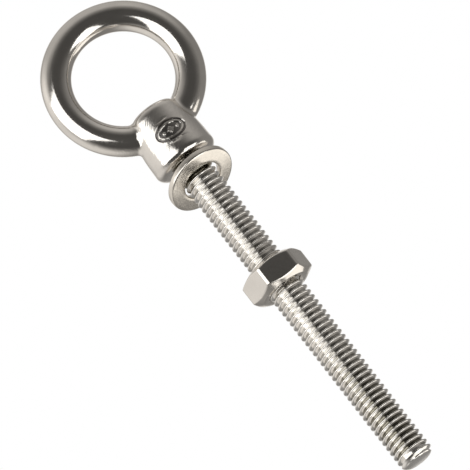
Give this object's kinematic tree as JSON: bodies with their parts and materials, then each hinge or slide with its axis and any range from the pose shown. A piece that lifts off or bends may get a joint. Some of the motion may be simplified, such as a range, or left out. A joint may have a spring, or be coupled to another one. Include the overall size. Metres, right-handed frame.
{
  "type": "eye bolt",
  "caption": "Long-shank metric eye bolt: a cast ring on a square collar, a fully threaded shank, a loose flat washer and a hex nut.",
  "frame": {"origin": "on the thread's axis, in the plane of the collar's seat", "axes": "+Z along the shank towards the eye, so the shank's tip points down; Y is the ring's axis and the marked front flat faces -Y"},
  "size_m": [0.0259, 0.0112, 0.0903],
  "materials": {
    "polished_casting": "mirror-polished cast stainless steel",
    "rolled_thread": "bright rolled stainless thread",
    "stamped_washer": "satin stamped stainless sheet",
    "machined_nut": "bright stainless, fine machining marks"
  },
  "bodies": {
    "bolt": {"eye_head": "polished_casting", "threaded_stud": "rolled_thread"},
    "washer": {"flat_washer": "stamped_washer"},
    "nut": {"hex_nut": "machined_nut"}
  },
  "joints": [
    {"name": "washer_slide", "type": "slide", "parent": "bolt", "child": "washer", "axis": [0, 0, -1], "range_m": [-0.0004, 0.009]},
    {"name": "nut_travel", "type": "slide", "parent": "bolt", "child": "nut", "axis": [0, 0, -1], "range_m": [-0.006, 0.03]}
  ]
}
